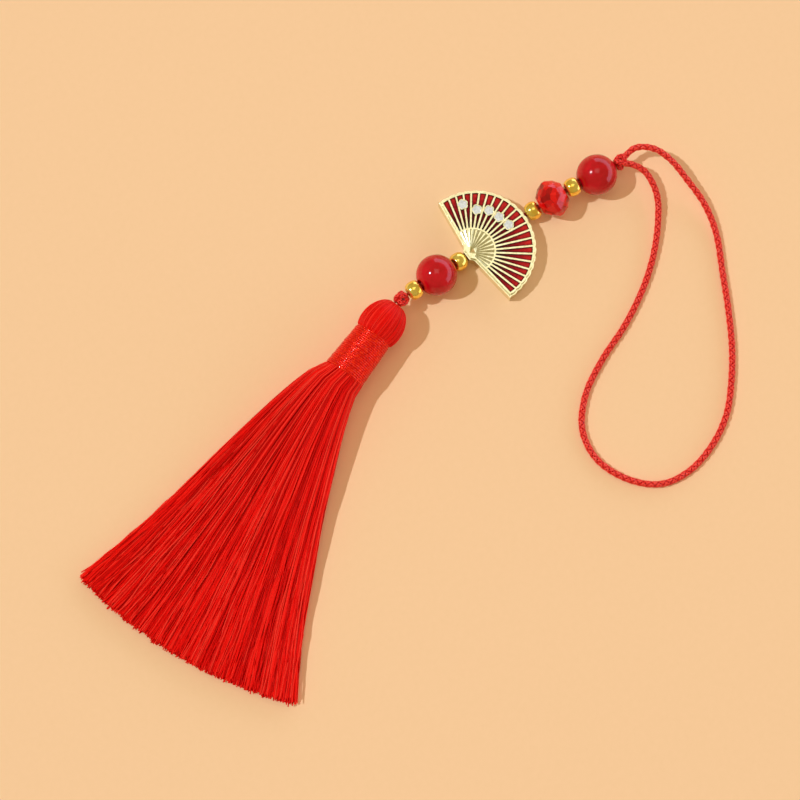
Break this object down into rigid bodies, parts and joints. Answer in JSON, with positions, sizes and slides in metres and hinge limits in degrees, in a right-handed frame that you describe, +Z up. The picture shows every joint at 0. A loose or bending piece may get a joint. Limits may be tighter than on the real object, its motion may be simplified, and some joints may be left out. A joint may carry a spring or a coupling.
{
  "type": "tassel pendant with fan charm",
  "caption": "Hanging tassel pendant: braided loop, glass and gold beads on a cord, a small enamelled open-fan charm, and a spread silk tassel below a wrapped neck.",
  "frame": {"origin": "on the table under the middle of the fan charm's flat back", "axes": "+X along the bead string towards the hanging loop, +Z up from the table the pendant lies on"},
  "size_m": [0.138, 0.0692, 0.0087],
  "materials": {
    "red_enamel": "gloss",
    "white_enamel": "gloss",
    "silk": "satin",
    "pale_gold": "polished",
    "bright_gold": "polished",
    "metallic_thread": "metallic",
    "braided_cord": "matte",
    "core_cord": "matte",
    "red_glass": "gloss",
    "crystal_glass": "gloss"
  },
  "bodies": {
    "charm_cord": {"string_cord_middle": "core_cord"},
    "fan": {"fan_frame": "pale_gold", "enamel_01": "red_enamel", "enamel_02": "red_enamel", "enamel_03_inner": "red_enamel", "enamel_03_outer": "red_enamel", "enamel_04": "red_enamel", "enamel_05_inner": "red_enamel", "enamel_05_outer": "red_enamel", "enamel_06_inner": "red_enamel", "enamel_06_outer": "red_enamel", "enamel_07_inner": "red_enamel", "enamel_07_outer": "red_enamel", "enamel_08_inner": "red_enamel", "enamel_08_outer": "red_enamel", "enamel_09_inner": "red_enamel", "enamel_09_outer": "red_enamel", "enamel_10_inner": "red_enamel", "enamel_10_outer": "red_enamel", "enamel_11_inner": "red_enamel", "enamel_11_outer": "red_enamel", "enamel_12_inner": "red_enamel", "enamel_12_outer": "red_enamel", "enamel_13": "red_enamel", "enamel_14": "red_enamel", "enamel_15": "red_enamel", "enamel_16": "red_enamel", "enamel_17": "red_enamel", "enamel_18": "red_enamel", "enamel_19": "red_enamel", "enamel_20": "red_enamel", "enamel_21": "red_enamel", "enamel_22": "red_enamel", "blossom_1": "white_enamel", "blossom_2": "white_enamel", "blossom_3": "white_enamel", "blossom_4": "white_enamel", "blossom_5": "white_enamel"},
    "upper_string": {"string_cord_upper": "core_cord"},
    "upper_bead": {"upper_red_bead": "red_glass"},
    "crystal": {"crystal_bead": "crystal_glass"},
    "spacer_1": {"spacer_bead_1": "bright_gold"},
    "spacer_2": {"spacer_bead_2": "bright_gold"},
    "loop_knot": {"top_knot": "braided_cord"},
    "loop": {"hanging_loop": "braided_cord"},
    "lower_string": {"string_cord_lower": "core_cord"},
    "lower_bead": {"lower_red_bead": "red_glass"},
    "spacer_3": {"spacer_bead_3": "bright_gold"},
    "spacer_4": {"spacer_bead_4": "bright_gold"},
    "swivel_knot": {"tassel_knot": "braided_cord"},
    "tassel": {"tassel_neck_cord": "core_cord", "tassel_head": "silk", "tassel_wrap": "metallic_thread", "skirt_lock_1": "silk", "skirt_lock_2": "silk", "skirt_lock_3": "silk", "skirt_lock_4": "silk", "skirt_lock_5": "silk", "skirt_lock_6": "silk", "skirt_lock_7": "silk"}
  },
  "joints": [
    {"name": "fan_spin", "type": "hinge", "parent": "charm_cord", "child": "fan", "pos_m": [0, 0, 0.00175], "axis": [0.9981, 0.061, 0], "continuous": true},
    {"name": "upper_bend", "type": "hinge", "parent": "charm_cord", "child": "upper_string", "pos_m": [0.00694, 0.00042, 0.00175], "axis": [0, 0, 1], "range_deg": [-8, 8]},
    {"name": "lower_bend", "type": "hinge", "parent": "charm_cord", "child": "lower_string", "pos_m": [-0.00694, -0.00042, 0.00175], "axis": [0, 0, 1], "range_deg": [-8, 8]},
    {"name": "spacer_2_spin", "type": "hinge", "parent": "upper_string", "child": "spacer_2", "pos_m": [0.00888, 0.00029, 0.00212], "axis": [0.954, -0.0667, 0.2924], "continuous": true},
    {"name": "crystal_spin", "type": "hinge", "parent": "upper_string", "child": "crystal", "pos_m": [0.01302, 0, 0.0038], "axis": [0.9679, -0.0677, 0.2419], "continuous": true},
    {"name": "spacer_1_spin", "type": "hinge", "parent": "upper_string", "child": "spacer_1", "pos_m": [0.01731, -0.0003, 0.0044], "axis": [0.9921, -0.0694, 0.1045], "continuous": true},
    {"name": "upper_bead_spin", "type": "hinge", "parent": "upper_string", "child": "upper_bead", "pos_m": [0.02265, -0.00067, 0.00393], "axis": [0.9951, -0.0696, -0.0698], "continuous": true},
    {"name": "spacer_3_spin", "type": "hinge", "parent": "lower_string", "child": "spacer_3", "pos_m": [-0.00848, -0.00051, 0.00212], "axis": [-0.955, -0.05, 0.2924], "continuous": true},
    {"name": "lower_bead_spin", "type": "hinge", "parent": "lower_string", "child": "lower_bead", "pos_m": [-0.01368, -0.00078, 0.00393], "axis": [-0.975, -0.0511, 0.2164], "continuous": true},
    {"name": "spacer_4_spin", "type": "hinge", "parent": "lower_string", "child": "spacer_4", "pos_m": [-0.01887, -0.00105, 0.0044], "axis": [-0.998, -0.0523, 0.0349], "continuous": true},
    {"name": "loop_swing", "type": "hinge", "parent": "upper_string", "child": "loop_knot", "pos_m": [0.02799, -0.00105, 0.00375], "axis": [0, 0, 1], "range_deg": [-15, 60]},
    {"name": "loop_lift", "type": "hinge", "parent": "loop_knot", "child": "loop", "pos_m": [0.02799, -0.00105, 0.00375], "axis": [-0.9286, 0.3711, 0], "range_deg": [0, 75]},
    {"name": "tassel_swing", "type": "hinge", "parent": "lower_string", "child": "swivel_knot", "pos_m": [-0.02177, -0.0012, 0.0044], "axis": [0, 0, 1], "range_deg": [-35, 30]},
    {"name": "tassel_lift", "type": "hinge", "parent": "swivel_knot", "child": "tassel", "pos_m": [-0.02177, -0.0012, 0.0044], "axis": [-0.3551, 0.9348, 0], "range_deg": [0, 60]}
  ]
}
